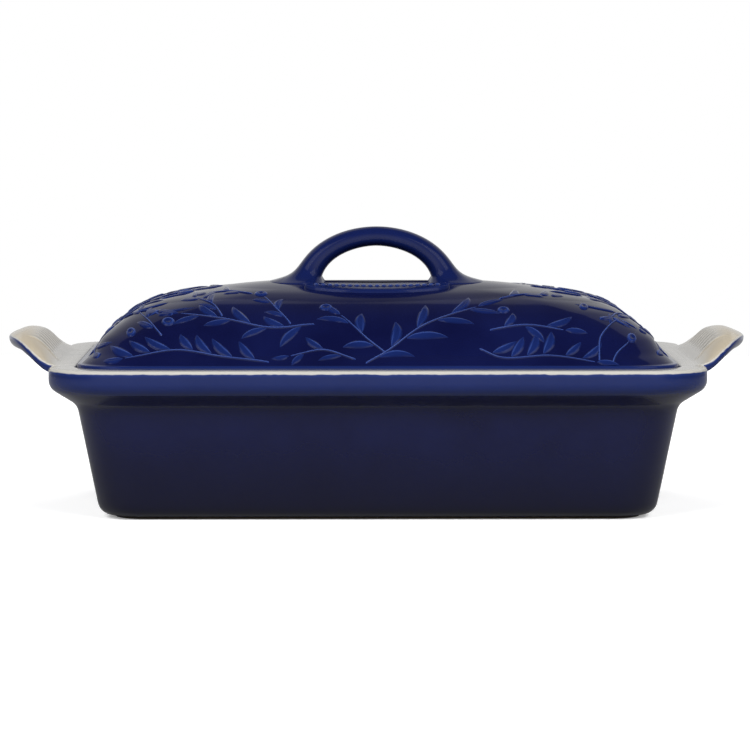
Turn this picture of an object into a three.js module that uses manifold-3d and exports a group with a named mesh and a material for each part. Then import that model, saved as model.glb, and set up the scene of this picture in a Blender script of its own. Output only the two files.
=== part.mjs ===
import * as THREE from 'three';
import { mergeVertices } from 'three/addons/utils/BufferGeometryUtils.js';
import Module from 'manifold-3d';

// A covered stoneware casserole: an oblong dish with a broad lip and an upturned tab handle at each
// end, and a domed lid with an arch handle. Millimetres, +Z up, X along the length, and the foot
// ring stands on z = 0. The dish and the lid are lofted through rounded rectangles.

const wasm = await Module();
wasm.setup();

// Driving dimensions.
const RIM_HALF_LENGTH = 177;
const RIM_HALF_WIDTH = 119;
const RIM_CORNER_RADIUS = 34;
const RIM_TOP = 82.5;
const RIM_BAND_HEIGHT = 9.5;
const RIM_OVERHANG = 15;
const BODY_TAPER = 10.3;
const BODY_TOP = 59;
const BASE_EDGE_RADIUS = 9;
const WALL = 7;
const LIP_WIDTH = 13.5;
const LEDGE_DEPTH = 3.5;
const LEDGE_WIDTH = 8.5;
const FOOT_HEIGHT = 1;
const FOOT_WIDTH = 5;
const JOINT_GAP = 0.3;
const LID_CLEARANCE = 1.5;
const LID_WALL = 6;
const LID_TOP = 124.3;
const HANDLE_TOP = 154.5;
const HANDLE_REACH = 27.8;
const HANDLE_HALF_SPAN = 74;
const CORNER_STEPS = 11;

// A rounded rectangle at height z, as a ring of points running anticlockwise seen from above.
function roundedRectangle({ halfLength, halfWidth, radius, z }) {
  const points = [];
  const corners = [[1, 1], [-1, 1], [-1, -1], [1, -1]];
  corners.forEach(([sideX, sideY], quarter) => {
    for (let step = 0; step <= CORNER_STEPS; step += 1) {
      const angle = (quarter + step / CORNER_STEPS) * Math.PI / 2;
      points.push([
        sideX * (halfLength - radius) + radius * Math.cos(angle),
        sideY * (halfWidth - radius) + radius * Math.sin(angle),
        z,
      ]);
    }
  });
  return points;
}

function centreOf(ring) {
  const sum = [0, 0, 0];
  for (const point of ring) {
    point.forEach((value, axis) => { sum[axis] += value; });
  }
  return sum.map((value) => value / ring.length);
}

// Joins rings of equal length into one closed skin, with a fan over the first and the last ring.
function loft(rings) {
  const count = rings[0].length;
  const positions = rings.flat(2);
  const first = rings.length * count;
  const last = first + 1;
  positions.push(...centreOf(rings[0]), ...centreOf(rings[rings.length - 1]));
  const index = [];
  for (let side = 0; side < count; side += 1) {
    const next = (side + 1) % count;
    for (let level = 0; level < rings.length - 1; level += 1) {
      const low = level * count;
      const high = low + count;
      index.push(low + side, low + next, high + next);
      index.push(low + side, high + next, high + side);
    }
    const end = (rings.length - 1) * count;
    index.push(first, next, side);
    index.push(last, end + side, end + next);
  }
  const geometry = new THREE.BufferGeometry();
  geometry.setAttribute('position', new THREE.Float32BufferAttribute(positions, 3));
  geometry.setIndex(index);
  return geometry;
}

function toSolid(geometry) {
  const merged = mergeVertices(geometry, 1e-4);
  return new wasm.Manifold(new wasm.Mesh({
    numProp: 3,
    vertProperties: new Float32Array(merged.attributes.position.array),
    triVerts: new Uint32Array(merged.index.array),
  }));
}

function toGeometry(solid) {
  const mesh = solid.getMesh();
  const positions = [];
  for (let vertex = 0; vertex < mesh.numVert; vertex += 1) {
    for (let axis = 0; axis < 3; axis += 1) {
      positions.push(mesh.vertProperties[vertex * mesh.numProp + axis]);
    }
  }
  const geometry = new THREE.BufferGeometry();
  geometry.setAttribute('position', new THREE.Float32BufferAttribute(positions, 3));
  geometry.setIndex(Array.from(mesh.triVerts));
  return geometry;
}

// The dish. Its skin is a profile of [inset from the rim's outline, height], swept round the
// outline. The corners keep a generous radius as the body tapers.
function dishRing(inset, z, grow = 0) {
  return roundedRectangle({
    halfLength: RIM_HALF_LENGTH - inset + grow,
    halfWidth: RIM_HALF_WIDTH - inset + grow,
    radius: RIM_CORNER_RADIUS - 0.5 * inset + grow,
    z,
  });
}

const BASE_UNDERSIDE = FOOT_HEIGHT + JOINT_GAP;
const BASE_INSET = RIM_OVERHANG + BODY_TAPER;
const BAND_BOTTOM = RIM_TOP - RIM_BAND_HEIGHT;

function outerProfile() {
  const profile = [];
  const edgeSteps = 4;
  for (let step = 0; step <= edgeSteps; step += 1) {
    const angle = (step / edgeSteps) * Math.PI / 2;
    const inset = BASE_INSET + BASE_EDGE_RADIUS * (1 - Math.sin(angle));
    profile.push([inset, BASE_UNDERSIDE + BASE_EDGE_RADIUS * (1 - Math.cos(angle))]);
  }
  profile.push([RIM_OVERHANG, BODY_TOP]);
  profile.push([RIM_OVERHANG - 1.3, BODY_TOP + 3.4]);
  profile.push([RIM_OVERHANG / 2 + 1.5, (BODY_TOP + BAND_BOTTOM) / 2 + 0.4]);
  profile.push([RIM_OVERHANG / 4, BAND_BOTTOM - 3.2]);
  profile.push([RIM_OVERHANG / 12, BAND_BOTTOM - 1]);
  profile.push([0, BAND_BOTTOM + 1.5]);
  profile.push([0, RIM_TOP - 2.5]);
  return profile;
}

function lipProfile() {
  const ledge = RIM_TOP - LEDGE_DEPTH;
  const ledgeEnd = LIP_WIDTH + LEDGE_WIDTH;
  return [
    [0.75, RIM_TOP - 0.75],
    [2.5, RIM_TOP],
    [LIP_WIDTH - 1, RIM_TOP],
    [LIP_WIDTH, RIM_TOP - 1],
    [LIP_WIDTH + 0.4, ledge],
    [ledgeEnd - 1.5, ledge],
    [ledgeEnd, ledge - 1.5],
  ];
}

function innerProfile() {
  const floor = BASE_UNDERSIDE + WALL;
  const cornerRadius = 12;
  const profile = [[RIM_OVERHANG + WALL + 0.5, BODY_TOP]];
  const steps = 4;
  for (let step = 0; step <= steps; step += 1) {
    const angle = (step / steps) * Math.PI / 2;
    const inset = BASE_INSET + WALL - 1.5 + cornerRadius * (1 - Math.cos(angle));
    profile.push([inset, floor + cornerRadius * (1 - Math.sin(angle))]);
  }
  return profile;
}

function buildDish() {
  const profile = [...outerProfile(), ...lipProfile(), ...innerProfile()];
  return loft(profile.map(([inset, z]) => dishRing(inset, z)));
}

// The block that the dish's outside fills, grown by the joint gap, which cuts the handles to fit.
function dishEnvelope() {
  const profile = [...outerProfile(), [0.75, RIM_TOP - 0.75], [2.5, RIM_TOP]];
  return toSolid(loft(profile.map(([inset, z], level) => {
    const top = level === profile.length - 1;
    return dishRing(inset, top ? z + JOINT_GAP : z, JOINT_GAP);
  })));
}

// The unglazed ring that the dish stands on.
function buildFootRing() {
  const outside = BASE_INSET + 9.5;
  const inside = outside + FOOT_WIDTH;
  const block = toSolid(loft([dishRing(outside, 0), dishRing(outside, FOOT_HEIGHT)]));
  const hole = toSolid(loft([dishRing(inside, -1), dishRing(inside, FOOT_HEIGHT + 1)]));
  return toGeometry(block.subtract(hole));
}

// The tab handle at the +X end: a plate that climbs steeply from the lip, crests and dips to a
// rounded tip. It is highest in the middle of its width and falls away to the lip at each side.
const TAB_ROOT = RIM_HALF_LENGTH - 8;
// Heights of its top over the lip at mid-width: [distance out from TAB_START, height].
const TAB_START = RIM_HALF_LENGTH - 12;
const TAB_CLIMB = [[3, 0], [7.5, 0.3], [10, 0.9], [13, 3.6], [16, 7.7], [19, 11.2], [22, 13.5],
  [25, 15], [28, 15.7], [31, 15.5], [35, 14.3], [39.8, 11.9]];
const TAB_EDGE_THICKNESS = 5;
const TAB_MIDDLE_THICKNESS = 9;
const TAB_SECTIONS = 46;
const TAB_FULLNESS = 2.2;
const FLUTE_PITCH = 9.4;
const FLUTE_DEPTH = 0.5;
const FLUTE_LENGTH = 12;
const FLUTES_HALF_WIDTH = 40;

function tabEdge(y) {
  const spread = Math.min(1, Math.abs(y) / HANDLE_HALF_SPAN);
  return RIM_HALF_LENGTH - 3 + (HANDLE_REACH + 3) * Math.sqrt(1 - spread ** 2);
}

function tabCrown(y) {
  return Math.max(0, 1 - (Math.abs(y) / (HANDLE_HALF_SPAN + 0.5)) ** TAB_FULLNESS) ** (1 / TAB_FULLNESS);
}

function tabRise(x) {
  const out = x - TAB_START;
  const last = TAB_CLIMB.length - 1;
  const after = TAB_CLIMB.findIndex(([at]) => at >= out);
  if (after === 0) {
    return 0;
  }
  if (after < 0) {
    return TAB_CLIMB[last][1];
  }
  const [startOut, startHeight] = TAB_CLIMB[after - 1];
  const [endOut, endHeight] = TAB_CLIMB[after];
  return startHeight + (endHeight - startHeight) * (out - startOut) / (endOut - startOut);
}

// Shallow flutes run up the steep part of the slope, for the fingers.
function tabFlute(x, y) {
  const along = Math.min(1, Math.max(0, (x - RIM_HALF_LENGTH) / FLUTE_LENGTH));
  const side = Math.max(0, 1 - (Math.abs(y) / FLUTES_HALF_WIDTH) ** 6);
  return FLUTE_DEPTH * Math.sin(Math.PI * along) * side * Math.cos(2 * Math.PI * y / FLUTE_PITCH);
}

function tabTop(x, y) {
  return RIM_TOP + tabRise(x) * tabCrown(y);
}

function tabThickness(x, y) {
  const middle = 1 - (y / HANDLE_HALF_SPAN) ** 2;
  const root = Math.max(0, 1 - (x - RIM_HALF_LENGTH) / 9);
  const plate = TAB_EDGE_THICKNESS + (TAB_MIDDLE_THICKNESS - TAB_EDGE_THICKNESS) * middle;
  return plate + 5 * middle * Math.min(1, root) ** 2;
}

// One slice across the handle at y, running out along the top, round the nose and back beneath.
function tabSection(y) {
  const nose = 0.5 * tabThickness(tabEdge(y), y);
  const flat = Math.max(TAB_ROOT + 1, tabEdge(y) - nose);
  const topSteps = 8;
  const underSteps = 4;
  const noseSteps = 5;
  const section = [];
  for (let step = 0; step <= topSteps; step += 1) {
    const x = TAB_ROOT + (flat - TAB_ROOT) * (step / topSteps);
    section.push([x, y, tabTop(x, y) + tabFlute(x, y)]);
  }
  const noseCentre = tabTop(flat, y) - nose;
  for (let step = 1; step < noseSteps; step += 1) {
    const angle = Math.PI * (0.5 - step / noseSteps);
    section.push([flat + nose * Math.cos(angle), y, noseCentre + nose * Math.sin(angle)]);
  }
  for (let step = 0; step <= underSteps; step += 1) {
    const x = flat + (TAB_ROOT - flat) * (step / underSteps);
    section.push([x, y, tabTop(x, y) - tabThickness(x, y)]);
  }
  return section;
}

function buildTab(envelope) {
  const sections = [];
  for (let slice = 0; slice <= TAB_SECTIONS; slice += 1) {
    const y = HANDLE_HALF_SPAN * (2 * slice / TAB_SECTIONS - 1);
    sections.push(tabSection(y));
  }
  return toSolid(loft(sections)).subtract(envelope);
}

// The lid. A flat edge rests on the ledge, flares up in an ogee and closes over as a pillow.
const LID_HALF_LENGTH = RIM_HALF_LENGTH - LIP_WIDTH - LID_CLEARANCE;
const LID_HALF_WIDTH = RIM_HALF_WIDTH - LIP_WIDTH - LID_CLEARANCE;
const LID_CORNER_RADIUS = RIM_CORNER_RADIUS - 8;
const LID_SEAT = RIM_TOP - LEDGE_DEPTH + JOINT_GAP;
const LID_EDGE_TOP = RIM_TOP + 1.5;

// Levels of the dome: [inset of the ends, inset of the long sides, height above the edge].
const DOME = [
  [5, 5, 2.6],
  [8, 8.7, 5.5],
  [10.5, 11.8, 9],
  [13, 15.4, 13],
  [17, 19.2, 16.6],
  [22, 24, 20.6],
  [27, 29.4, 24.3],
  [32, 35, 27.4],
  [43, 44, 31.4],
  [56.5, 53, 34.3],
  [71, 63, 36.6],
  [88, 79, 38.8],
  [104, 96, 40.2],
];

function lidRing(insetEnds, insetSides, z) {
  const halfWidth = LID_HALF_WIDTH - insetSides;
  return {
    halfLength: LID_HALF_LENGTH - insetEnds,
    halfWidth,
    radius: Math.min(LID_CORNER_RADIUS + 0.12 * insetSides, 0.97 * halfWidth),
    z,
  };
}

function lidRings() {
  const edge = [
    [0.4, LID_SEAT + 0.4],
    [0, LID_SEAT + 1.2],
    [0, LID_EDGE_TOP - 1.3],
    [0.7, LID_EDGE_TOP - 0.3],
    [2, LID_EDGE_TOP],
  ].map(([inset, z]) => lidRing(inset, inset, z));
  const dome = DOME.map(([ends, sides, rise]) => lidRing(ends, sides, LID_EDGE_TOP + rise));
  return [...edge, ...dome];
}

// The same rings moved inwards by the wall thickness, square to the outside profile.
function lidInnerRings() {
  const outer = lidRings();
  const inner = [];
  for (let level = 6; level < outer.length - 1; level += 1) {
    const before = outer[level - 1];
    const after = outer[level + 1];
    const run = before.halfWidth - after.halfWidth;
    const climb = after.z - before.z;
    const slope = Math.hypot(run, climb);
    const inset = LID_WALL * climb / slope;
    inner.push({
      halfLength: outer[level].halfLength - inset,
      halfWidth: outer[level].halfWidth - inset,
      radius: outer[level].radius - 0.9 * inset,
      z: outer[level].z - LID_WALL * run / slope,
    });
  }
  const skirt = { ...inner[0], z: LID_SEAT };
  const seat = { ...lidRing(1, 1, LID_SEAT) };
  return [...inner.reverse(), skirt, seat];
}

function buildLid() {
  return loft([...lidInnerRings(), ...lidRings()].map(roundedRectangle));
}

function lidEnvelope() {
  return toSolid(loft(lidRings().map((ring) => roundedRectangle({ ...ring, z: ring.z + JOINT_GAP }))));
}

// The arch handle: an outer and an inner curve, joined by rounded cross-sections. The feet flare
// out where they meet the dome.
const ARCH_BASE = LID_TOP - 0.6;
const ARCH_SPRING = LID_TOP - 2.3;
const ARCH_HALF_SPAN = 45;
const ARCH_HOLE_SPRING = LID_TOP + 2.7;
const ARCH_HOLE_HALF_SPAN = 31;
const ARCH_HOLE_TOP = HANDLE_TOP - 10.8;
const ARCH_FOOT_FLARE = 15;
const ARCH_FOOT_DEPTH = 9;
const ARCH_STEPS = 30;

function archSection(angle, sink) {
  const across = Math.cos(angle);
  const up = Math.max(Math.sin(angle), 0);
  const side = Math.sign(across);
  const outerZ = ARCH_SPRING + (HANDLE_TOP - ARCH_SPRING) * up;
  const height = Math.max(outerZ - ARCH_BASE, 0);
  const flare = ARCH_FOOT_FLARE * Math.exp(-height / 3.2);
  const outerX = side * (ARCH_HALF_SPAN * Math.abs(across) + flare);
  const drop = (ARCH_BASE - ARCH_HOLE_SPRING) * (1 - up) ** 2;
  const innerZ = ARCH_HOLE_SPRING + drop + (ARCH_HOLE_TOP - ARCH_HOLE_SPRING) * up ** 1.15;
  const tuck = Math.max(ARCH_HOLE_SPRING - innerZ, 0);
  const innerX = side * (ARCH_HOLE_HALF_SPAN * Math.abs(across) ** 1.1 - 0.45 * tuck);
  const centre = [(outerX + innerX) / 2, (outerZ + innerZ) / 2 - sink];
  const half = [(outerX - innerX) / 2, (outerZ - innerZ) / 2];
  const halfDepth = 9 + 2.6 * (1 - up) + ARCH_FOOT_DEPTH * Math.exp(-height / 3);
  const section = [];
  const points = 14;
  for (let step = 0; step < points; step += 1) {
    const turn = (step / points) * 2 * Math.PI;
    const reach = Math.sign(Math.cos(turn)) * Math.abs(Math.cos(turn)) ** 0.8;
    const depth = Math.sign(Math.sin(turn)) * Math.abs(Math.sin(turn)) ** 0.8;
    section.push([centre[0] + half[0] * reach, halfDepth * depth, centre[1] + half[1] * reach]);
  }
  return section;
}

function buildArch() {
  const sections = [archSection(0, 8)];
  for (let step = 0; step <= ARCH_STEPS; step += 1) {
    sections.push(archSection(Math.PI * step / ARCH_STEPS, 0));
  }
  sections.push(archSection(Math.PI, 8));
  return toGeometry(toSolid(loft(sections)).subtract(lidEnvelope()));
}

// A plain raised plaque on the dome, in front of the handle.
const PLAQUE_HALF_LENGTH = 40;
const PLAQUE_HALF_WIDTH = 10;
const PLAQUE_Y = -35.5;
const PLAQUE_HEIGHT = 1.8;
const PLAQUE_LEAN = 10 * Math.PI / 180;

function buildPlaque() {
  const levels = [[-12, 0], [PLAQUE_HEIGHT - 0.7, 0], [PLAQUE_HEIGHT, 0.8]];
  const seat = LID_TOP - 3;
  const rings = levels.map(([rise, inset]) => {
    const ring = roundedRectangle({
      halfLength: PLAQUE_HALF_LENGTH - inset,
      halfWidth: PLAQUE_HALF_WIDTH - inset,
      radius: PLAQUE_HALF_WIDTH - inset - 0.2,
      z: rise,
    });
    return ring.map(([x, y, z]) => [x, y + PLAQUE_Y, seat + z + y * Math.tan(PLAQUE_LEAN)]);
  });
  return toGeometry(toSolid(loft(rings)).subtract(lidEnvelope()));
}

const group = new THREE.Group();
group.name = 'covered_casserole_dish';

function addNode(name, geometry, color, roughness) {
  const material = new THREE.MeshStandardMaterial({ color, roughness, name });
  const mesh = new THREE.Mesh(geometry, material);
  mesh.name = name;
  group.add(mesh);
}

const NAVY = 0x1b1e5a;
const CREAM = 0xd8ccb4;
const CLAY = 0xc9a98a;
const envelope = dishEnvelope();
const rightTab = buildTab(envelope);

addNode('dish_body', buildDish(), NAVY, 0.2);
addNode('dish_foot_ring', buildFootRing(), CLAY, 0.8);
addNode('dish_handle_right', toGeometry(rightTab), CREAM, 0.25);
addNode('dish_handle_left', toGeometry(rightTab.mirror([1, 0, 0])), CREAM, 0.25);
addNode('lid_shell', buildLid(), NAVY, 0.2);
addNode('lid_arch_handle', buildArch(), NAVY, 0.2);
addNode('lid_plaque', buildPlaque(), NAVY, 0.2);

export default group;
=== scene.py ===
"""The looks of a covered stoneware casserole: a two-tone glazed dish with fluted tab handles, and a
domed lid with a relief of leaf sprays, an arch handle and a plain plaque. Lengths are in
millimetres until a mesh is made, and then in metres."""

import math

import bpy
import numpy as np
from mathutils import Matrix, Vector
from mathutils.bvhtree import BVHTree


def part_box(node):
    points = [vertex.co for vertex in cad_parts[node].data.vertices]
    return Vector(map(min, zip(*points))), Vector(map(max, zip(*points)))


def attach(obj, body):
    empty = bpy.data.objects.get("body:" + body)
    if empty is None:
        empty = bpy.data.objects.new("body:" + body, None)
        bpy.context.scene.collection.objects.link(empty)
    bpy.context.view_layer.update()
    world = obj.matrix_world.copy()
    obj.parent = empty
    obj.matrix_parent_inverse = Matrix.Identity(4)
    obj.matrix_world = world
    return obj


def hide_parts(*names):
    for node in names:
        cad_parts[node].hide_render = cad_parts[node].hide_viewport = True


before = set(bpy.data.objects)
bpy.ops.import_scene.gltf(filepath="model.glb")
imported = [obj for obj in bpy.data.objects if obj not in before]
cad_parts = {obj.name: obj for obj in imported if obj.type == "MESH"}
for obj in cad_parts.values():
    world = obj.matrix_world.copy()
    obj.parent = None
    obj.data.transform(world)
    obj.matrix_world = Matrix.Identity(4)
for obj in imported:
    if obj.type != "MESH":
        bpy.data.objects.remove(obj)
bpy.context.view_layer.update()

MM = 0.001


# ---------------------------------------------------------------- driving dimensions
def size_of(node):
    """A CAD node's lowest and highest corner, in millimetres."""
    low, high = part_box(node)
    return np.array(low) / MM, np.array(high) / MM


DISH_LOW, DISH_HIGH = size_of("dish_body")
LID_LOW, LID_HIGH = size_of("lid_shell")
HANDLE_TOP = size_of("lid_arch_handle")[1][2]
TAB_TIP = size_of("dish_handle_right")[1][0]

RIM_HALF_LENGTH = DISH_HIGH[0]
RIM_HALF_WIDTH = DISH_HIGH[1]
RIM_TOP = DISH_HIGH[2]
BASE = DISH_LOW[2]
RIM_CORNER_RADIUS = 34.0
LIP_WIDTH = 13.5
LEDGE_DEPTH = 3.5
WALL_SLOPE = 0.198
LID_HALF_LENGTH = LID_HIGH[0]
LID_HALF_WIDTH = LID_HIGH[1]
LID_CORNER_RADIUS = 26.0
LID_SEAT = LID_LOW[2]
LID_EDGE_TOP = RIM_TOP + 1.5
LID_TOP = LID_HIGH[2]


# ---------------------------------------------------------------- mesh helpers
def ring_frame(long_steps, short_steps, corner_steps):
    """For each column round a rounded rectangle, anticlockwise: the corner it hangs from, which
    may lie part way along a side, and the direction it stands off in."""
    corners = [(1, -1), (1, 1), (-1, 1), (-1, -1)]
    columns = []
    for quarter in range(4):
        start = np.array(corners[quarter], float)
        end = np.array(corners[(quarter + 1) % 4], float)
        steps = long_steps if quarter % 2 else short_steps
        angle = quarter * math.pi / 2
        for step in range(steps):
            corner = start + (end - start) * step / steps
            columns.append((*corner, math.cos(angle), math.sin(angle)))
        for step in range(corner_steps):
            turn = angle + step / corner_steps * math.pi / 2
            columns.append((*end, math.cos(turn), math.sin(turn)))
    return np.array(columns)


def rings(half_length, half_width, radius, z, columns):
    """Rows of points round rounded rectangles. Each size is an array with one value per row."""
    a, b, r, z = (np.asarray(v, float)[:, None] for v in (half_length, half_width, radius, z))
    x = (a - r) * columns[:, 0] + r * columns[:, 2]
    y = (b - r) * columns[:, 1] + r * columns[:, 3]
    return np.stack([x, y, np.broadcast_to(z, x.shape)], axis=2)


def filleted(corners, step):
    """A line through [across, up, radius] corners, each rounded to its radius, in short steps."""
    points = [np.array(corners[0][:2], float)]
    for before, here, after in zip(corners, corners[1:], corners[2:]):
        corner = np.array(here[:2], float)
        back = np.array(before[:2], float) - corner
        ahead = np.array(after[:2], float) - corner
        back_length = np.linalg.norm(back)
        ahead_length = np.linalg.norm(ahead)
        turn = math.acos(np.clip(back @ ahead / (back_length * ahead_length), -1, 1))
        cut = min(here[2] / math.tan(turn / 2), 0.48 * back_length, 0.48 * ahead_length)
        first = corner + back / back_length * cut
        last = corner + ahead / ahead_length * cut
        count = max(3, int(2.2 * cut))
        for t in np.linspace(0, 1, count + 1):
            points.append((1 - t) ** 2 * first + 2 * t * (1 - t) * corner + t ** 2 * last)
    points.append(np.array(corners[-1][:2], float))
    line = [points[0]]
    for point in points[1:]:
        length = np.linalg.norm(point - line[-1])
        pieces = max(1, math.ceil(length / step))
        start = line[-1]
        line.extend(start + (point - start) * k / pieces for k in range(1, pieces + 1))
    return np.array(line)


def smooth_curve(points, count):
    """A curve through the points, evenly spread along its length, with any number of axes."""
    points = np.asarray(points, float)
    padded = np.vstack([2 * points[0] - points[1], points, 2 * points[-1] - points[-2]])
    dense = []
    for k in range(1, len(padded) - 2):
        p0, p1, p2, p3 = padded[k - 1:k + 3]
        for t in np.linspace(0, 1, 24, endpoint=False):
            dense.append(0.5 * (2 * p1 + (p2 - p0) * t + (2 * p0 - 5 * p1 + 4 * p2 - p3) * t ** 2
                                + (3 * p1 - p0 - 3 * p2 + p3) * t ** 3))
    dense.append(points[-1])
    dense = np.array(dense)
    travelled = run_length(dense)
    wanted = np.linspace(0, travelled[-1], count)
    return np.stack([np.interp(wanted, travelled, axis) for axis in dense.T], axis=1)


def run_length(line):
    """The distance travelled along a line at each of its points."""
    steps = np.linalg.norm(np.diff(line, axis=0), axis=1)
    return np.concatenate([[0], np.cumsum(steps)])


def smoothstep(low, high, value):
    t = np.clip((value - low) / (high - low), 0, 1)
    return t * t * (3 - 2 * t)


def grid_faces(rows, columns, start=0, wrap=True):
    """Quads between the points of a grid. With wrap, the last column joins the first."""
    across = np.arange(columns if wrap else columns - 1)
    down = np.arange(rows - 1)
    low = start + down[:, None] * columns + across
    right = start + down[:, None] * columns + (across + 1) % columns
    return np.stack([low, right, right + columns, low + columns], axis=2).reshape(-1, 4)


def make_object(name, points, faces, values=None):
    """A smooth-shaded mesh from millimetre points. values holds one number per point, by name."""
    mesh = bpy.data.meshes.new(name)
    mesh.from_pydata((np.asarray(points) * MM).tolist(), [], [list(face) for face in faces])
    mesh.shade_smooth()
    for key, numbers in (values or {}).items():
        attribute = mesh.attributes.new(key, "FLOAT", "POINT")
        attribute.data.foreach_set("value", np.asarray(numbers, np.float32))
    obj = bpy.data.objects.new(name, mesh)
    bpy.context.scene.collection.objects.link(obj)
    return obj


def closed_skin(name, grid, values=None):
    """A body from rows of points, closed round its columns and with a fan over each end."""
    rows, columns, _ = grid.shape
    points = grid.reshape(-1, 3)
    faces = grid_faces(rows, columns).tolist()
    first = len(points)
    last_row = (rows - 1) * columns
    for k in range(columns):
        nxt = (k + 1) % columns
        faces.append([first, nxt, k])
        faces.append([first + 1, last_row + k, last_row + nxt])
    points = np.vstack([points, grid[0].mean(0), grid[-1].mean(0)])
    per_point = {}
    for key, numbers in (values or {}).items():
        flat = np.broadcast_to(numbers, (rows, columns)).reshape(-1)
        per_point[key] = np.concatenate([flat, [flat[0], flat[-1]]])
    return make_object(name, points, faces, per_point)


# ---------------------------------------------------------------- materials
class Nodes:
    """A short way to write a material's node tree."""

    def __init__(self, name):
        self.material = bpy.data.materials.new(name)
        self.material.use_nodes = True
        self.tree = self.material.node_tree
        self.tree.nodes.clear()

    def add(self, kind, links=None, **settings):
        node = self.tree.nodes.new(kind)
        for key, value in settings.items():
            setattr(node, key, value)
        for socket, value in (links or {}).items():
            if isinstance(value, bpy.types.NodeSocket):
                self.tree.links.new(value, node.inputs[socket])
            else:
                node.inputs[socket].default_value = value
        return node

    def noise(self, scale, detail=3.0, roughness=0.5, stretch=(1, 1, 1)):
        place = self.add("ShaderNodeTexCoord")
        mapping = self.add("ShaderNodeMapping", {"Vector": place.outputs["Object"], "Scale": stretch})
        node = self.add("ShaderNodeTexNoise", {
            "Vector": mapping.outputs["Vector"], "Scale": scale,
            "Detail": detail, "Roughness": roughness,
        })
        return node.outputs["Fac"]

    def spread(self, value, low, high, to_low=0.0, to_high=1.0):
        node = self.add("ShaderNodeMapRange", {
            "Value": value, "From Min": low, "From Max": high,
            "To Min": to_low, "To Max": to_high,
        })
        return node.outputs["Result"]

    def mix(self, factor, first, second):
        node = self.add("ShaderNodeMix", data_type="RGBA")
        for socket, value in ((node.inputs[0], factor), (node.inputs[6], first), (node.inputs[7], second)):
            if isinstance(value, bpy.types.NodeSocket):
                self.tree.links.new(value, socket)
            else:
                socket.default_value = value
        return node.outputs[2]

    def math(self, operation, first, second=0.0):
        node = self.add("ShaderNodeMath", operation=operation)
        for socket, value in zip(node.inputs, (first, second)):
            if isinstance(value, bpy.types.NodeSocket):
                self.tree.links.new(value, socket)
            else:
                socket.default_value = value
        return node.outputs[0]

    def attribute(self, name):
        return self.add("ShaderNodeAttribute", attribute_name=name).outputs["Fac"]

    def finish(self, color, roughness, bump, **constants):
        links = {"Base Color": color, "Roughness": roughness, "Normal": bump}
        links.update(constants)
        shader = self.add("ShaderNodeBsdfPrincipled", links)
        output = self.add("ShaderNodeOutputMaterial")
        self.tree.links.new(shader.outputs["BSDF"], output.inputs["Surface"])
        return self.material


NAVY_IN_SHADE = (0.0014, 0.0016, 0.012, 1)
NAVY_DEEP = (0.0020, 0.0030, 0.027, 1)
NAVY = (0.0032, 0.0052, 0.039, 1)
NAVY_THIN = (0.011, 0.034, 0.185, 1)
NAVY_BREAK_AND_HIGHLIGHT = (0.075, 0.125, 0.36, 1)
CREAM = (0.42, 0.405, 0.37, 1)
CREAM_WARM = (0.43, 0.37, 0.275, 1)
CREAM_GREY = (0.395, 0.384, 0.358, 1)
CREAM_SHADE = (0.17, 0.155, 0.13, 1)
# The bare clay is painted darker than it is, a painted shade for the foot's contact shadow.
SHADED_CLAY = (0.12, 0.09, 0.07, 1)
SHADED_CLAY_DARK = (0.07, 0.055, 0.042, 1)


def glaze_bump(nodes, strength=0.12):
    """The faint waviness of a poured glaze, and its finer orange peel."""
    broad = nodes.noise(38, 2)
    fine = nodes.noise(520, 2)
    height = nodes.math("ADD", nodes.math("MULTIPLY", fine, 0.05), broad)
    bump = nodes.add("ShaderNodeBump", {"Strength": strength, "Distance": 0.0006, "Height": height})
    return bump.outputs["Normal"]


def navy_color(nodes, thin):
    """Deep navy that pools darker here and there and breaks to a clear blue where it is thin. It is
    painted darker towards the bottom, a painted shade.
    """
    drift = nodes.mix(nodes.spread(nodes.noise(22, 4), 0.35, 0.65), NAVY_DEEP, NAVY)
    place = nodes.add("ShaderNodeTexCoord")
    height = nodes.add("ShaderNodeSeparateXYZ", {"Vector": place.outputs["Object"]})
    # Painted shade: below a height of 48 mm the navy is painted darker, the most at 4 mm.
    shaded = nodes.mix(nodes.spread(height.outputs["Z"], 0.048, 0.004), drift, NAVY_IN_SHADE)
    return nodes.mix(thin, shaded, NAVY_THIN)


def cream_color(nodes):
    """Cream with warm and grey drifts, and a few small iron specks."""
    drift = nodes.mix(nodes.spread(nodes.noise(26, 3), 0.35, 0.65), CREAM_GREY, CREAM)
    specks = nodes.spread(nodes.noise(900, 1), 0.74, 0.78)
    return nodes.mix(nodes.math("MULTIPLY", specks, 0.35), drift, CREAM_WARM)


# Values of glaze_line for a surface that is well inside the navy, in the thinner navy near the line,
# and well inside the cream.
DEEP_IN_NAVY = -40.0
THIN_NAVY = -5.0
DEEP_IN_CREAM = 9.0


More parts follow.
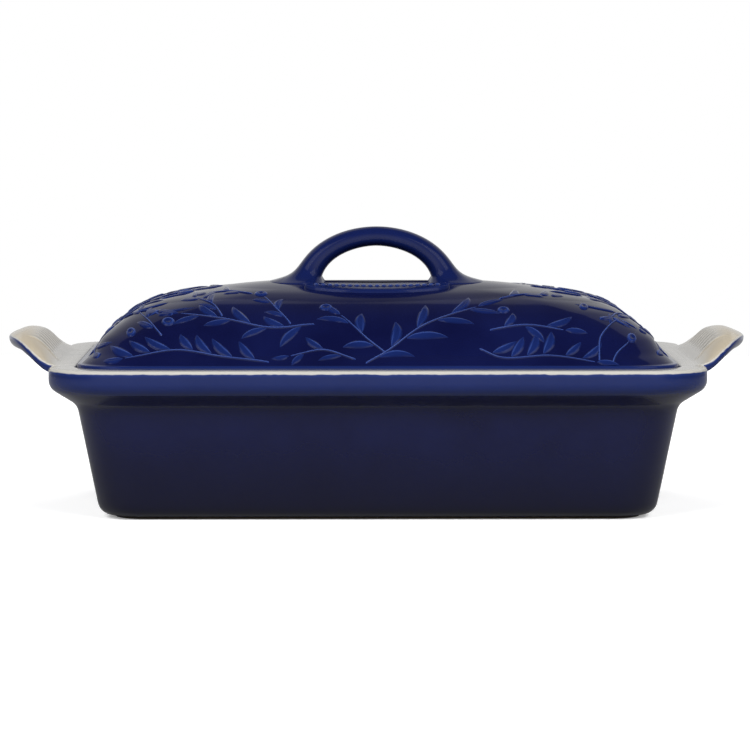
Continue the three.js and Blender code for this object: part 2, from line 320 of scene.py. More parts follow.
def two_tone_glaze():
    """Navy outside and cream inside. The attribute glaze_line is the distance in millimetres from
    the line where they meet, above zero on the cream side. The navy runs a little thin in the band
    beside the line, and more so right at it. warmth is 1 where the cream is yellowish, and groove is
    1 in the flutes, where the cream is painted dark, as pooled glaze and painted shade."""
    nodes = Nodes("two_tone_glaze")
    wander = nodes.math("MULTIPLY", nodes.math("SUBTRACT", nodes.noise(140, 2), 0.5), 1.1)
    line = nodes.math("ADD", nodes.attribute("glaze_line"), wander)
    cream_side = nodes.spread(line, -0.15, 0.3)
    band = nodes.spread(line, -15, -11, 0.0, 0.3)
    thin = nodes.math("ADD", band, nodes.spread(line, -1.6, -0.1, 0.0, 0.3))
    cream = nodes.mix(nodes.attribute("warmth"), cream_color(nodes), CREAM_WARM)
    # Pooled glaze and painted shade: the cream is painted dark in the flutes and the crease by the panel.
    shaded = nodes.math("MULTIPLY", nodes.attribute("groove"), 0.7)
    cream = nodes.mix(shaded, cream, CREAM_SHADE)
    color = nodes.mix(cream_side, navy_color(nodes, thin), cream)
    roughness = nodes.spread(nodes.noise(60, 3), 0.3, 0.7, 0.07, 0.13)
    return nodes.finish(color, roughness, glaze_bump(nodes), **{"Specular IOR Level": 0.4})


def relief_glaze():
    """Navy glaze over relief. The attribute lift is 0 on the ground, about 0.4 on a leaf and nearly 1
    on a stem or a leaf's upper edge. There the glaze runs thin and breaks to a light blue, and on the upper
    edges of leaves and berries that light blue is also a painted highlight."""
    nodes = Nodes("relief_glaze")
    lift = nodes.attribute("lift")
    thin = nodes.spread(lift, 0, 0.6, 0.0, 0.42)
    # The light blue of thin glaze on raised relief, and a painted highlight on upper edges.
    edge = nodes.spread(lift, 0.5, 1.0, 0.0, 0.5)
    color = nodes.mix(edge, navy_color(nodes, thin), NAVY_BREAK_AND_HIGHLIGHT)
    roughness = nodes.spread(nodes.noise(60, 3), 0.3, 0.7, 0.10, 0.16)
    return nodes.finish(color, roughness, glaze_bump(nodes), **{"Specular IOR Level": 0.4})


def bare_clay():
    nodes = Nodes("bare_clay")
    grain = nodes.noise(700, 5, 0.65)
    color = nodes.mix(nodes.spread(grain, 0.35, 0.65), SHADED_CLAY_DARK, SHADED_CLAY)
    bump = nodes.add("ShaderNodeBump", {"Strength": 0.6, "Distance": 0.0003, "Height": grain})
    roughness = nodes.spread(grain, 0.3, 0.7, 0.75, 0.95)
    return nodes.finish(color, roughness, bump.outputs["Normal"])


dish_glaze = two_tone_glaze()
lid_glaze = relief_glaze()
foot_clay = bare_clay()


# ---------------------------------------------------------------- the dish
COLUMNS = ring_frame(long_steps=64, short_steps=40, corner_steps=24)
BAND_BOTTOM = RIM_TOP - 10.9
WALL_TOP = RIM_TOP - 20.8
WALL_TOP_INSET = 14.7
BASE_INSET = WALL_TOP_INSET + WALL_SLOPE * (WALL_TOP - BASE)
FLOOR = BASE + 7


def build_dish():
    """One skin: up the outside, over the lip, across the lid's ledge and down the inside."""
    corners = [
        (92, BASE, 0),
        (BASE_INSET, BASE, 9),
        (WALL_TOP_INSET, WALL_TOP, 9),
        (0, BAND_BOTTOM, 8),
        (0, RIM_TOP, 2.2),
        (LIP_WIDTH, RIM_TOP, 1.4),
        (LIP_WIDTH + 0.5, RIM_TOP - LEDGE_DEPTH, 0.8),
        (LIP_WIDTH + 8.5, RIM_TOP - LEDGE_DEPTH, 2),
        (LIP_WIDTH + 9.3, WALL_TOP, 20),
        (BASE_INSET + 7.2, FLOOR, 9),
        (92, FLOOR, 0),
    ]
    line = filleted(corners, step=3.5)
    inset, z = line.T
    grid = rings(RIM_HALF_LENGTH - inset, RIM_HALF_WIDTH - inset,
                 np.maximum(RIM_CORNER_RADIUS - 0.5 * inset, 6), z, COLUMNS)
    travelled = run_length(line)
    on_outer_edge = np.flatnonzero((inset < 3) & (z > RIM_TOP - 2))[0]
    glaze_line = travelled - travelled[on_outer_edge] + 0.5
    return closed_skin("dish_glazed_body", grid, {"glaze_line": glaze_line[:, None]})


def build_foot():
    """The unglazed ring under the base, with softened edges, that runs up into the base."""
    low, high = size_of("dish_foot_ring")
    outer = RIM_HALF_LENGTH - high[0]
    corners = [
        (outer + 0.2, BASE + 0.4, 0),
        (outer, low[2], 0.5),
        (outer + 5, low[2], 0.5),
        (outer + 4.8, BASE + 0.4, 0),
    ]
    line = filleted(corners, step=1.5)
    inset, z = line[::-1].T
    grid = rings(RIM_HALF_LENGTH - inset, RIM_HALF_WIDTH - inset,
                 RIM_CORNER_RADIUS - 0.5 * inset, z, COLUMNS)
    rows, columns, _ = grid.shape
    return make_object("dish_bare_foot", grid.reshape(-1, 3), grid_faces(rows, columns))


# ---------------------------------------------------------------- the tab handles
TAB_HALF_SPAN = 74.0
TAB_FULLNESS = 2.2
TAB_ROOT = RIM_HALF_LENGTH - 12
TAB_CREST = RIM_HALF_LENGTH + 14
PANEL_HALF_WIDTH = 38.5
PANEL_RISE = 0.8
FLUTES_HALF_WIDTH = 37.0
FLUTE_PITCH = 9.4
FLUTE_DEPTH = 0.38
TAB_EDGE_RADIUS = 1.5

# The climb of the handle's top over the lip at mid-width: [distance out from the root, height].
TAB_CLIMB = [(0, -0.5), (5, 0.05), (7.5, 0.3), (10, 1.2), (13, 3.9), (16, 7.4), (19, 10.7),
             (22, 13.2), (25, 14.8), (28, 15.6), (31, 15.5), (35, 14.2), (39.8, 11.8)]


def tab_edge(y):
    """How far out the handle reaches at y."""
    spread = np.clip(np.abs(y) / TAB_HALF_SPAN, 0, 1)
    return RIM_HALF_LENGTH - 3 + (TAB_TIP - RIM_HALF_LENGTH + 3) * np.sqrt(1 - spread ** 2)


def tab_top(x, y):
    """The height of the handle's top face, without its panel and flutes."""
    climb_line = smooth_curve(TAB_CLIMB, 200)
    climb = np.interp(x - TAB_ROOT, climb_line[:, 0], climb_line[:, 1])
    crown = np.clip(1 - np.abs(y / (TAB_HALF_SPAN + 0.5)) ** TAB_FULLNESS, 0, 1) ** (1 / TAB_FULLNESS)
    return RIM_TOP + np.where(climb > 0, climb * crown, climb)


def tab_panel_side(x):
    """Half the width of the raised panel, which spreads where it meets the lip."""
    return PANEL_HALF_WIDTH + 8 * smoothstep(RIM_HALF_LENGTH + 3, RIM_HALF_LENGTH - 4, x)


def tab_panel(x, y):
    """1 on the raised panel that runs up the slope between the borders, and 0 on the border."""
    panel = smoothstep(-0.7, 0.7, tab_panel_side(x) - np.abs(y))
    panel = panel * smoothstep(RIM_HALF_LENGTH - 5, RIM_HALF_LENGTH + 1, x)
    return panel * smoothstep(TAB_CREST + 3, TAB_CREST - 5, x)


def tab_flutes(x, y):
    """How far each point is fluted, from 0 to 1, and the flutes' wave, from 1 on a ridge to -1 in a
    groove. The flutes fade out towards the crest."""
    fluted = smoothstep(RIM_HALF_LENGTH - 0.5, RIM_HALF_LENGTH + 3.5, x)
    fluted = fluted * smoothstep(RIM_HALF_LENGTH + 13.5, RIM_HALF_LENGTH + 5, x)
    fluted = fluted * smoothstep(FLUTES_HALF_WIDTH + 0.6, FLUTES_HALF_WIDTH - 0.6, np.abs(y))
    return fluted, np.cos(2 * math.pi * y / FLUTE_PITCH)


def tab_groove(x, y):
    """1 where the cream is painted dark: between the ridges, and in the crease beside the panel. It is
    pooled glaze and painted shade.
    """
    fluted, wave = tab_flutes(x, y)
    # Painted shade: the dark reaches from each groove well up the near flanks of the ridges.
    between = fluted * np.clip(0.35 - 1.1 * wave, 0, 1)
    on_slope = smoothstep(RIM_HALF_LENGTH - 3, RIM_HALF_LENGTH + 2, x)
    on_slope = on_slope * smoothstep(TAB_CREST, TAB_CREST - 7, x)
    crease = np.exp(-((np.abs(y) - tab_panel_side(x) - 0.9) / 0.8) ** 2)
    return np.clip(between + 0.6 * crease * on_slope, 0, 1)


def build_tab(side, name):
    """A handle as slices across y. Each slice runs out along the top, round a crisp upper edge, in
    under it and back along the underside. The cream ends just past the upper edge, or further down
    where the slice doesn't reach past the rim."""
    slices = 340
    y = TAB_HALF_SPAN * np.sin(np.linspace(-1, 1, slices) * math.pi / 2 * 0.995)
    edge = tab_edge(y)
    middle = 1 - (y / TAB_HALF_SPAN) ** 2
    thickness = 4.6 + 3.6 * middle
    crisp = np.minimum(TAB_EDGE_RADIUS, 0.4 * (edge - TAB_ROOT))
    flat = edge - crisp
    tuck = np.minimum(7 * middle + 1.5, 0.5 * (edge - TAB_ROOT))
    inside_rim = RIM_HALF_LENGTH + 0.8
    lip_only = 2 * (RIM_HALF_LENGTH - 1.5 - edge)
    points = []
    line = []
    warmth = []
    groove = []
    for t in np.linspace(0, 1, 64):
        x = TAB_ROOT + (flat - TAB_ROOT) * t
        fluted, wave = tab_flutes(x, y)
        panel = tab_panel(x, y)
        z = tab_top(x, y) + PANEL_RISE * panel + FLUTE_DEPTH * fluted * wave
        points.append(np.stack([x, y, z], axis=1))
        line.append(np.maximum(flat - x + 1.2, 2 * (inside_rim - x)))
        warmth.append((1 - 0.8 * panel) * smoothstep(RIM_HALF_LENGTH - 4, RIM_HALF_LENGTH + 6, x))
        groove.append(tab_groove(x, y))
    corner = tab_top(flat, y) - crisp
    for turn in np.linspace(0, math.pi / 2, 7)[1:]:
        points.append(np.stack([flat + crisp * math.sin(turn), y, corner + crisp * math.cos(turn)], axis=1))
        line.append(np.maximum(1.2 - 1.5 * turn, lip_only))
    for turn in np.linspace(0, math.pi / 2, 10)[1:]:
        drop = (thickness - crisp) * math.sin(turn)
        points.append(np.stack([edge - tuck * (1 - math.cos(turn)), y, corner - drop], axis=1))
        line.append(np.maximum(np.full(slices, -1.2 - 20 * turn), lip_only))
    under_edge = edge - tuck
    under_corner = tab_top(flat, y) - thickness
    for t in np.linspace(0, 1, 14)[1:]:
        x = under_edge + (TAB_ROOT + 4 - under_edge) * t
        root = np.clip(1 - (x - RIM_HALF_LENGTH) / 10, 0, 1.4)
        follow = tab_top(x, y) - tab_top(under_edge, y)
        z = under_corner + follow - 5 * middle * root ** 2
        points.append(np.stack([x, y, np.minimum(z, RIM_TOP - 0.8 + 40 * (x > RIM_HALF_LENGTH))], axis=1))
        line.append(np.full(slices, DEEP_IN_NAVY))
    grid = np.stack(points, axis=1)
    grid[:, :, 0] *= side
    values = {"glaze_line": np.stack(line, axis=1)}
    for key, rows in (("warmth", warmth), ("groove", groove)):
        plain = [np.zeros(slices)] * (len(points) - len(rows))
        values[key] = np.stack(rows + plain, axis=1)
    if side < 0:
        grid = grid[::-1]
        values = {key: numbers[::-1] for key, numbers in values.items()}
    return closed_skin(name, grid, values)


# ---------------------------------------------------------------- the lid
# Levels of the dome: [inset of the ends, inset of the long sides, height above the edge].
DOME = [
    (2.2, 2.2, 0.0), (5, 5, 2.6), (8, 8.7, 5.5), (10.5, 11.8, 9), (13, 15.4, 13), (17, 19.2, 16.6),
    (22, 24, 20.6), (27, 29.4, 24.3), (32, 35, 27.4), (43, 44, 31.4), (56.5, 53, 34.3),
    (71, 63, 36.6), (88, 79, 38.8), (104, 96, 40.2), (111, 104, 40.25),
]
DOME_LINE = smooth_curve(DOME, 160)
HOLLOW_DEPTH = 3.2


def lid_sizes(levels):
    """Half length, half width, corner radius and height of rings at levels [ends, sides, rise]."""
    ends, sides, rise = levels.T
    half_width = LID_HALF_WIDTH - sides
    radius = np.minimum(LID_CORNER_RADIUS + 0.12 * sides, 0.97 * half_width)
    return LID_HALF_LENGTH - ends, half_width, radius, LID_EDGE_TOP + rise


def finger_hollow(x, y):
    """The depth of the shallow hollow under the handle, between its feet."""
    ahead = smoothstep(-27, -15, y)
    behind = smoothstep(13, -3, y)
    return HOLLOW_DEPTH * ahead * behind * smoothstep(38, 26, np.abs(x))


def build_lid():
    """The outside from its seat up to the ridge, joined to a plain inside."""
    seat = LID_SEAT - LID_EDGE_TOP
    edge = filleted([(1.2, seat, 0), (0, seat, 0.8), (0, 0, 1.3), (2.2, 0, 0)], step=1.0)
    edge_levels = np.stack([edge[:, 0], edge[:, 0], edge[:, 1]], axis=1)
    outside = np.vstack([edge_levels[:-1], DOME_LINE])
    wall = 6.0
    rows = DOME_LINE[14:-6:4]
    slope = np.gradient(rows[:, 1:], axis=0)
    steep = slope / np.linalg.norm(slope, axis=1)[:, None]
    inside = rows.copy()
    inside[:, 0] += wall * steep[:, 1]
    inside[:, 1] += wall * steep[:, 1]
    inside[:, 2] -= wall * steep[:, 0]
    skirt = np.array([[inside[0, 0], inside[0, 1], seat]])
    levels = np.vstack([inside[::-1], skirt, outside])
    half_length, half_width, radius, z = lid_sizes(levels)
    inner_rows = len(inside) + 1
    radius[:inner_rows] = np.minimum(radius[:inner_rows], LID_CORNER_RADIUS)
    radius[:inner_rows] = np.maximum(np.minimum(radius[:inner_rows], half_width[:inner_rows] * 0.97), 1)
    grid = rings(half_length, half_width, radius, z, COLUMNS)
    outer = grid[inner_rows:]
    outer[:, :, 2] -= finger_hollow(outer[:, :, 0], outer[:, :, 1])
    glaze_line = np.full(len(levels), DEEP_IN_NAVY)
    glaze_line[:inner_rows] = DEEP_IN_CREAM
    glaze_line[inner_rows:inner_rows + len(edge)] = THIN_NAVY
    return closed_skin("lid_glazed_dome", grid, {"glaze_line": glaze_line[:, None]})


def surface_below(tree, x, y):
    """The height of the lid's outside at a point, and its normal."""
    hit, normal, _, _ = tree.ray_cast(Vector((x * MM, y * MM, 1)), Vector((0, 0, -1)))
    return hit.z / MM, np.array(normal)


# ---------------------------------------------------------------- the arch handle
ARCH_BASE = LID_TOP - 0.6
ARCH_SPRING = LID_TOP - 2.3
ARCH_HALF_SPAN = 45.0
ARCH_FLARE = 15.0
ARCH_HOLE_SPRING = LID_TOP + 2.7
ARCH_HOLE_HALF_SPAN = 31.0
ARCH_HOLE_TOP = HANDLE_TOP - 10.8


def arch_section(angle, count=44):
    """One cross-section of the handle, at an angle round the arch from foot to foot."""
    across = math.cos(angle)
    up = max(math.sin(angle), 0)
    side = math.copysign(1, across)
    outer_z = ARCH_SPRING + (HANDLE_TOP - ARCH_SPRING) * up
    height = max(outer_z - ARCH_BASE, 0)
    outer_x = side * (ARCH_HALF_SPAN * abs(across) + ARCH_FLARE * math.exp(-height / 3.2))
    low = ARCH_BASE - ARCH_HOLE_SPRING
    inner_z = ARCH_HOLE_SPRING + low * (1 - up) ** 2 + (ARCH_HOLE_TOP - ARCH_HOLE_SPRING) * up ** 1.15
    tuck = max(ARCH_HOLE_SPRING - inner_z, 0)
    inner_x = side * (ARCH_HOLE_HALF_SPAN * abs(across) ** 1.1 - 0.8 * tuck)
    half_depth = 8.6 + 2.6 * (1 - up) + 9 * math.exp(-height / 3)
    turn = np.linspace(0, 2 * math.pi, count, endpoint=False)
    reach = np.sign(np.cos(turn)) * np.abs(np.cos(turn)) ** 0.85
    depth = np.sign(np.sin(turn)) * np.abs(np.sin(turn)) ** 0.85
    x = (outer_x + inner_x) / 2 + (outer_x - inner_x) / 2 * reach
    z = (outer_z + inner_z) / 2 + (outer_z - inner_z) / 2 * reach
    return np.stack([x, half_depth * depth, z], axis=1)


def build_arch(tree):
    """The handle, whose feet spread out and lie down on the dome."""
    angles = np.pi * (0.5 - 0.5 * np.cos(np.linspace(0, np.pi, 150)))
    grid = np.stack([arch_section(angle) for angle in angles])
    for row in grid:
        for point in row:
            settle = math.exp(-max(point[2] - ARCH_BASE, 0) / 4)
            if settle > 0.01:
                ground, _ = surface_below(tree, point[0], point[1])
                point[2] += settle * (ground - ARCH_BASE + 0.02)
    sunk = grid[[0, -1]] - np.array([0, 0, 3])
    grid = np.concatenate([sunk[:1], grid, sunk[1:]])
    return closed_skin("lid_arch", grid[:, ::-1], {"lift": 0.18})


# ---------------------------------------------------------------- the plaque
PLAQUE_HALF_LENGTH = 40.0
PLAQUE_HALF_WIDTH = 9.6
PLAQUE_MIDDLE = -35.5
PLAQUE_BOW = 5.0
PLAQUE_HEIGHT = 1.8
PLAQUE_BEADS = 19
BEAD_HEIGHT = 0.75
SUNK = 0.3


def build_plaque(tree):
    """A plain raised plaque that bows out to the front, with softened edges and a row of beads."""
    across, along = 241, 61
    pitch = 1.76 * PLAQUE_HALF_LENGTH / PLAQUE_BEADS
    grid = np.zeros((along, across, 3))
    lift = np.zeros((along, across))
    for j, u in enumerate(np.sin(np.linspace(-1, 1, across) * math.pi / 2)):
        x = PLAQUE_HALF_LENGTH * u
        middle = PLAQUE_MIDDLE + PLAQUE_BOW * u * u
        half = PLAQUE_HALF_WIDTH * math.sqrt(max(0, 1 - abs(u) ** 3.5))
        nearest_bead = pitch * np.clip(round(x / pitch), -(PLAQUE_BEADS // 2), PLAQUE_BEADS // 2)
        for i, v in enumerate(np.linspace(-1, 1, along)):
            y = middle + half * v
            ground, _ = surface_below(tree, x, y)
            edge = min((1 - abs(v)) * half, 2 * (1 - abs(u)) * PLAQUE_HALF_LENGTH)
            rise = math.sqrt(max(0, 1 - (1 - min(edge, 1.0)) ** 2))
            apart = math.hypot(x - nearest_bead, (y - middle) / 1.6) / (0.42 * pitch)
            bead = math.sqrt(max(0, 1 - apart * apart))
            height = (PLAQUE_HEIGHT + SUNK) * rise + BEAD_HEIGHT * bead * rise
            grid[i, j] = (x, y, ground - SUNK + height)
            lift[i, j] = 0.25 + 0.6 * bead
    rows, columns, _ = grid.shape
    return make_object("lid_plain_plaque", grid.reshape(-1, 3), grid_faces(rows, columns, wrap=False),
                       {"lift": lift.reshape(-1)})


# ---------------------------------------------------------------- the leaf relief
DOME_CLIMB = run_length(DOME_LINE[:, 1:])
FACE_TURN = {"front": -math.pi / 2, "right": 0.0, "back": math.pi / 2, "left": math.pi}
rng = np.random.default_rng(7)


def on_lid(face, p, s):
    """Points on the dome. p runs along a face from its middle, and on round the corner. s climbs
    from the lid's edge."""
    shape = np.shape(p)
    p, s = np.ravel(p), np.ravel(s)
    levels = np.stack([np.interp(s, DOME_CLIMB, axis) for axis in DOME_LINE.T], axis=1)
    half_length, half_width, radius, z = lid_sizes(levels)
    along, out = (half_length, half_width) if face in ("front", "back") else (half_width, half_length)
    beyond = np.clip(np.abs(p) - (along - radius), 0, None)
    turn = np.minimum(beyond / radius, math.pi / 2)
    across = np.sign(p) * (np.minimum(np.abs(p), along - radius) + radius * np.sin(turn))
    out = out - radius + radius * np.cos(turn) - (beyond - turn * radius)
    cos, sin = math.cos(FACE_TURN[face]), math.sin(FACE_TURN[face])
    points = np.stack([out * cos - across * sin, out * sin + across * cos, z], axis=1)
    return points.reshape(*shape, 3)


def raised(face, p, s, height):
    """Points that stand off the dome by height."""
    here = on_lid(face, p, s)
    along = on_lid(face, p + 0.2, s) - on_lid(face, p - 0.2, s)
    up = on_lid(face, p, s + 0.2) - on_lid(face, p, np.maximum(s - 0.2, 0))
    normal = np.cross(along, up)
    normal /= np.linalg.norm(normal, axis=-1, keepdims=True)
    return here + normal * height[..., None]


class Relief:
    """Gathers raised patches into one mesh."""

    def __init__(self):
        self.points = []
        self.faces = []
        self.lift = []
        self.count = 0

    def patch(self, face, p, s, height, lift, wrap=False):
        rows, columns = p.shape
        self.points.append(raised(face, p, s, height).reshape(-1, 3))
        self.faces.append(grid_faces(rows, columns, self.count, wrap))
        self.lift.append(lift.reshape(-1))
        self.count += rows * columns

    def ribbon(self, face, line, half_width, height, dish):
        """A raised band along a line of (p, s) points. dish sinks its middle a little, and then its
        edges are painted lighter, as thin glaze, and the upper one most, as a painted highlight."""
        step = np.gradient(line, axis=0)
        step /= np.linalg.norm(step, axis=1, keepdims=True)
        c = np.linspace(-1, 1, 17)
        offset = half_width[:, None] * c
        p = line[:, :1] + step[:, 1:] * offset
        s = np.maximum(line[:, 1:] - step[:, :1] * offset, 0.3)
        body = (1 - c ** 2) ** 1.4
        hollow = 1 - dish * np.exp(-(c / 0.42) ** 2)
        upper_highlight = 0.5 - 0.5 * np.sign(c) * step[:, :1]
        rim = np.exp(-((np.abs(c) - 0.55) / 0.2) ** 2)
        fade = np.linspace(1.15, 0.7, len(line))[:, None]
        # Painted highlight: the upper edge of a leaf is painted much lighter than its lower edge.
        leaf = 0.4 * fade * body ** 0.7 + (0.06 + 0.5 * upper_highlight) * rim
        stem = np.broadcast_to(0.9 * np.exp(-(c / 0.5) ** 2), p.shape)
        self.patch(face, p, s, height[:, None] * body * hollow - 0.1, leaf if dish else stem)

    def stem(self, face, path, width=1.25):
        taper = 1 - 0.4 * np.linspace(0, 1, len(path)) ** 2
        ends = np.minimum(1, np.linspace(0, 12, len(path))) * np.minimum(1, np.linspace(12, 0, len(path)))
        self.ribbon(face, path, 0.78 * width * taper, 0.85 * taper * ends ** 0.5, 0.0)

    def leaf(self, face, base, tip, width, bend):
        base, tip = np.array(base, float), np.array(tip, float)
        t = np.linspace(0, 1, 17)
        ahead = tip - base
        side = np.array([-ahead[1], ahead[0]])
        line = base + t[:, None] * ahead + (bend * 4 * t * (1 - t))[:, None] * side
        fullness = np.sin(math.pi * np.clip(t, 0.012, 0.988) ** 0.9) ** 0.75
        self.ribbon(face, line, 0.64 * width * fullness, 1.15 * np.minimum(1, 1.5 * fullness), 0.42)

    def berry(self, face, middle, radius):
        rho = np.linspace(0.02, 1, 9)[::-1, None]
        turn = np.linspace(0, 2 * math.pi, 28, endpoint=False)
        p = middle[0] + radius * rho * np.cos(turn)
        s = middle[1] + radius * rho * np.sin(turn)
        ring = (1 - rho ** 4) * (1 - 0.6 * np.exp(-(rho / 0.42) ** 2))
        height = np.broadcast_to(1.35 * ring - 0.1, p.shape)
        # The ring is light blue as thin glaze, and painted lighter on its upper side, a painted highlight.
        lift = 0.25 + (0.5 + 0.2 * np.sin(turn)) * np.exp(-((rho - 0.7) / 0.2) ** 2)
        self.patch(face, p, s, height, lift, wrap=True)

    def spray(self, face, points, leaf, gap, width=4.4, first=1, sides=2, lean=40, berry=0.0):
        """A curving stem with leaves on one or both sides, and a leaf or a berry at its end."""
        path = smooth_curve(points, 48)
        self.stem(face, path)
        travelled = run_length(path)
        ahead = np.gradient(path, axis=0)
        ahead /= np.linalg.norm(ahead, axis=1, keepdims=True)
        at, side = 0.7 * gap, first
        while at < travelled[-1] - 0.35 * gap:
            base = np.array([np.interp(at, travelled, axis) for axis in path.T])
            heading = np.array([np.interp(at, travelled, axis) for axis in ahead.T])
            angle = side * math.radians(rng.uniform(lean - 7, lean + 7))
            cos, sin = math.cos(angle), math.sin(angle)
            way = np.array([heading[0] * cos - heading[1] * sin, heading[0] * sin + heading[1] * cos])
            length = leaf * rng.uniform(0.82, 1.12)
            self.leaf(face, base + 1.6 * way, base + (1.6 + length) * way, width * rng.uniform(0.88, 1.1),
                      -side * rng.uniform(0.03, 0.14))
            side = -side if sides == 2 else side
            at += gap * rng.uniform(0.85, 1.15)
        end, way = path[-1], ahead[-1]
        if berry:
            self.berry(face, end + (berry + 0.2) * way, berry)
        else:
            self.leaf(face, end + 0.8 * way, end + (0.8 + 0.8 * leaf) * way, 0.9 * width, 0.06)


# Sprays on a long face: points of the stem as (p, s), leaf length, gap, and other settings.
LONG_FACE_SPRAYS = [
    ([(-34, 31), (-58, 28), (-84, 36), (-107, 41)], 17, 9.5, {"width": 4.6}),
    ([(-47, 31), (-55, 46), (-62, 63)], 12, 9, {"berry": 3.9, "width": 4.2}),
    ([(-84, 38), (-90, 52), (-101, 60)], 12, 9, {"width": 4.0}),
    ([(-7, 2), (8, 14), (26, 31), (54, 48)], 20, 11, {"first": -1, "width": 5.0}),
    ([(4, 10), (-7, 21), (-20, 39)], 16, 10, {"width": 5.0}),
    ([(-12, 5), (-29, 12), (-47, 8)], 12, 10, {"width": 3.8}),
    ([(-58, 3), (-82, 7), (-108, 12), (-136, 6)], 15, 10.5, {"width": 4.8, "sides": 1, "first": -1}),
    ([(54, 13), (68, 6), (92, 8), (116, 3)], 15, 10, {"width": 4.6, "sides": 1, "lean": 64}),
    ([(60, 26), (80, 30), (100, 26)], 15, 11, {"width": 4.6, "lean": 50}),
    ([(118, 4), (120, 22), (132, 33), (147, 25)], 9, 40, {"width": 3.6}),
    ([(125, 2), (128, 10), (135, 17)], 8, 40, {"berry": 3.4}),
    ([(-116, 22), (-125, 34), (-137, 41)], 11, 9, {"width": 4.2}),
    ([(66, 58), (80, 65), (96, 62)], 12, 9, {"width": 4.2}),
    ([(-68, 67), (-82, 71), (-97, 66)], 12, 9, {"width": 4.2}),
]
LONG_FACE_BERRIES = [(-113, 33, 3.8), (-28, 47, 3.8), (68, 44, 3.6), (113, 47, 3.2), (-134, 24, 3.4)]
END_SPRAYS = [
    ([(-4, 4), (-15, 20), (-23, 38), (-24, 56)], 14, 9.5, {}),
    ([(8, 4), (22, 18), (29, 34), (26, 52)], 14, 9.5, {"first": -1}),
    ([(0, 30), (3, 48), (0, 68)], 11, 9, {"width": 4.2}),
    ([(-40, 5), (-56, 14), (-74, 10)], 13, 10, {"width": 4.2}),
    ([(44, 5), (60, 13), (78, 8)], 13, 10, {"width": 4.2}),
    ([(-44, 28), (-56, 38), (-70, 36)], 12, 10, {}),
    ([(46, 32), (58, 42), (72, 40)], 12, 10, {}),
]
END_BERRIES = [(-10, 60, 3.6), (13, 62, 3.4), (-42, 20, 3.4), (44, 22, 3.6), (13, 18, 3.4)]


def build_relief():
    """Leaf sprays and berries that stand about a millimetre proud of the dome, all round it."""
    relief = Relief()
    for faces, sprays, berries in ((("front", "back"), LONG_FACE_SPRAYS, LONG_FACE_BERRIES),
                                   (("right", "left"), END_SPRAYS, END_BERRIES)):
        for face in faces:
            for points, leaf, gap, settings in sprays:
                relief.spray(face, points, leaf, gap, **settings)
            for p, s, radius in berries:
                relief.berry(face, (p, s), radius)
    return make_object("lid_leaf_relief", np.concatenate(relief.points), np.concatenate(relief.faces),
                       {"lift": np.concatenate(relief.lift)})


# ---------------------------------------------------------------- the pieces
def give(obj, material, body, slot, *nodes):
    obj.data.materials.append(material)
    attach(obj, body)
    if nodes:
        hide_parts(*nodes)


dish = build_dish()
give(dish, dish_glaze, "dish", "navy_glaze", "dish_body")
foot = build_foot()
give(foot, foot_clay, "dish", "bare_stoneware", "dish_foot_ring")
give(build_tab(1, "dish_tab_right"), dish_glaze, "dish", "cream_glaze", "dish_handle_right")
give(build_tab(-1, "dish_tab_left"), dish_glaze, "dish", "cream_glaze", "dish_handle_left")

lid = build_lid()
give(lid, dish_glaze, "lid", "navy_glaze", "lid_shell")
lid_tree = BVHTree.FromPolygons([v.co for v in lid.data.vertices],
                                [p.vertices for p in lid.data.polygons])
give(build_arch(lid_tree), lid_glaze, "lid", "navy_glaze", "lid_arch_handle")
give(build_plaque(lid_tree), lid_glaze, "lid", "navy_glaze", "lid_plaque")
give(build_relief(), lid_glaze, "lid", "navy_glaze")


# ---------------------------------------------------------------- floor, light and camera
FLOOR_RADIUS = 1150


def build_floor():
    """A pale matt round floor. The glaze mirrors it darker than the camera sees it."""
    nodes = Nodes("pale_floor")
    tone = nodes.spread(nodes.noise(6, 2), 0.3, 0.7)
    paper = nodes.mix(tone, (0.91, 0.91, 0.91, 1), (0.93, 0.93, 0.93, 1))
    seen = nodes.add("ShaderNodeLightPath").outputs["Is Camera Ray"]
    color = nodes.mix(seen, (0.32, 0.32, 0.32, 1), paper)
    bump = nodes.add("ShaderNodeBump", {"Strength": 0.02, "Distance": 0.0005, "Height": nodes.noise(300)})
    roughness = nodes.spread(nodes.noise(9), 0, 1, 0.75, 0.85)
    glow = nodes.math("MULTIPLY", seen, 0.3)
    material = nodes.finish(color, roughness, bump.outputs["Normal"], **{
        "Specular IOR Level": 0.1, "Emission Color": paper, "Emission Strength": glow,
    })
    sides = 96
    turn = np.linspace(0, 2 * math.pi, sides, endpoint=False)
    rim = FLOOR_RADIUS * np.stack([np.cos(turn), np.sin(turn), np.zeros(sides)], axis=1)
    floor = make_object("floor", rim, [tuple(range(sides))])
    floor.data.materials.append(material)


def add_light(name, location, size, power, mirrored):
    """A soft box that faces the dish. Where it isn't mirrored, the glaze doesn't reflect it."""
    light = bpy.data.lights.new(name, "AREA")
    light.shape = "RECTANGLE"
    light.size, light.size_y = size
    light.energy = power
    obj = bpy.data.objects.new(name, light)
    obj.location = location
    towards_dish = Vector((0, 0, 0.05)) - Vector(location)
    obj.rotation_euler = towards_dish.to_track_quat("-Z", "Y").to_euler()
    obj.visible_glossy = mirrored
    bpy.context.scene.collection.objects.link(obj)


def add_camera():
    """A long lens about two metres away, looking slightly down at the dish's long side."""
    camera = bpy.data.cameras.new("camera")
    camera.lens = 184
    camera.sensor_width = 36
    camera.clip_end = 50
    obj = bpy.data.objects.new("camera", camera)
    obj.location = (-0.022, -2.139, 0.240)
    obj.rotation_euler = (math.radians(90 - 4.51), 0, math.radians(-0.567))
    bpy.context.scene.collection.objects.link(obj)
    bpy.context.scene.camera = obj


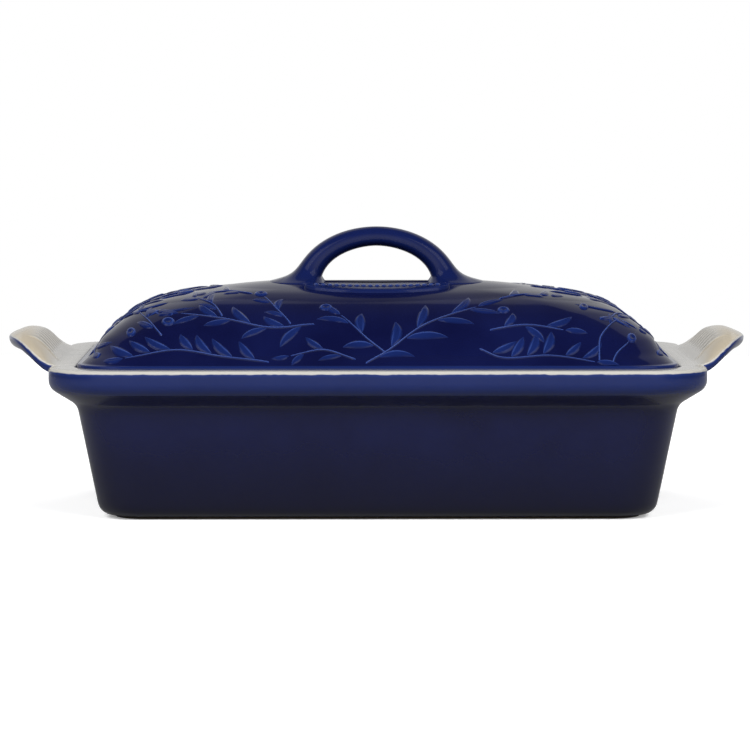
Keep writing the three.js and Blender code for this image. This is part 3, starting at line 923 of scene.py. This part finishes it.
# How bright the studio's walls are at each height, as the sine of the angle above the horizon,
# and how bright they are from the dark side screens (0) round to the front and back (1).
WALL_LIGHT = [(0.0, 0.60), (0.10, 0.58), (0.30, 0.36), (0.52, 0.28), (0.76, 0.18), (1.0, 0.14)]
SCREEN_LIGHT = [(0.0, 0.28), (0.72, 0.34), (0.95, 1.0)]


def light_ramp(tree, value, stops):
    ramp = tree.nodes.new("ShaderNodeValToRGB")
    elements = ramp.color_ramp.elements
    while len(elements) < len(stops):
        elements.new(0.5)
    for element, (position, light) in zip(elements, stops):
        element.position = position
        element.color = (light, light, light, 1)
    tree.links.new(value, ramp.inputs["Fac"])
    return ramp.outputs["Color"]


def build_world():
    """A plain studio with a white backdrop. Its walls are bright round the horizon, and dim
    overhead and behind the side screens."""
    world = bpy.data.worlds.new("studio")
    world.use_nodes = True
    tree = world.node_tree
    place = tree.nodes.new("ShaderNodeTexCoord")
    split = tree.nodes.new("ShaderNodeSeparateXYZ")
    tree.links.new(place.outputs["Generated"], split.inputs["Vector"])
    towards_back = tree.nodes.new("ShaderNodeMath")
    towards_back.operation = "ABSOLUTE"
    tree.links.new(split.outputs["Y"], towards_back.inputs[0])
    walls = tree.nodes.new("ShaderNodeMixRGB")
    walls.blend_type = "MULTIPLY"
    walls.inputs["Fac"].default_value = 1
    tree.links.new(light_ramp(tree, split.outputs["Z"], WALL_LIGHT), walls.inputs["Color1"])
    tree.links.new(light_ramp(tree, towards_back.outputs[0], SCREEN_LIGHT), walls.inputs["Color2"])
    backdrop = tree.nodes.new("ShaderNodeMixRGB")
    rays = tree.nodes.new("ShaderNodeLightPath")
    tree.links.new(rays.outputs["Is Camera Ray"], backdrop.inputs["Fac"])
    tree.links.new(walls.outputs["Color"], backdrop.inputs["Color1"])
    backdrop.inputs["Color2"].default_value = (1, 1, 1, 1)
    tree.links.new(backdrop.outputs["Color"], tree.nodes["Background"].inputs["Color"])
    bpy.context.scene.world = world


build_floor()
# On each side, a key light in front and a light behind shape the dish. The two larger and dimmer soft
# boxes are what its glaze reflects.
for side in (-1, 1):
    add_light("key", (1.2 * side, -1.5, 1.35), (1.1, 1.1), 46, mirrored=False)
    add_light("far_back", (0.9 * side, 2.0, 0.8), (1.1, 0.9), 20, mirrored=False)
    add_light("soft_front", (1.5 * side, -1.6, 1.3), (1.9, 1.8), 7, mirrored=True)
    add_light("soft_back", (1.3 * side, 1.9, 1.6), (2.4, 2.0), 3, mirrored=True)
add_camera()
build_world()
bpy.context.scene.view_settings.view_transform = "Standard"
